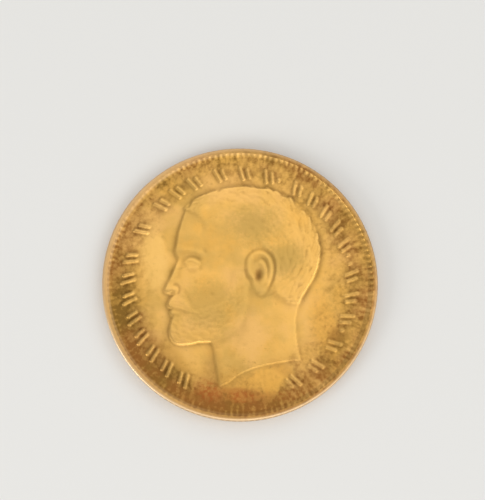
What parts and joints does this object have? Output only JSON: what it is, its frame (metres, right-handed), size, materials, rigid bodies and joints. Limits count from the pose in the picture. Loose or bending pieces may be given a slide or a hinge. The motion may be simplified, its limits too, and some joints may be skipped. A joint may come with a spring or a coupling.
{
  "type": "silver sixpence coin",
  "caption": "Small round silver coin, worn and toned: bearded head in profile, ring of marks, toothed rim, reeded edge, wreath on the back",
  "frame": {"origin": "middle of the plane of the back's rim, where the lying coin rests", "axes": "+Z out of the side with the head, +Y to the top of the head, +X to the right of it"},
  "size_m": [0.0194, 0.0194, 0.0012],
  "materials": {
    "toned_silver": "worn, toned silver"
  },
  "bodies": {
    "root": {"struck_coin": "toned_silver"}
  },
  "joints": []
}
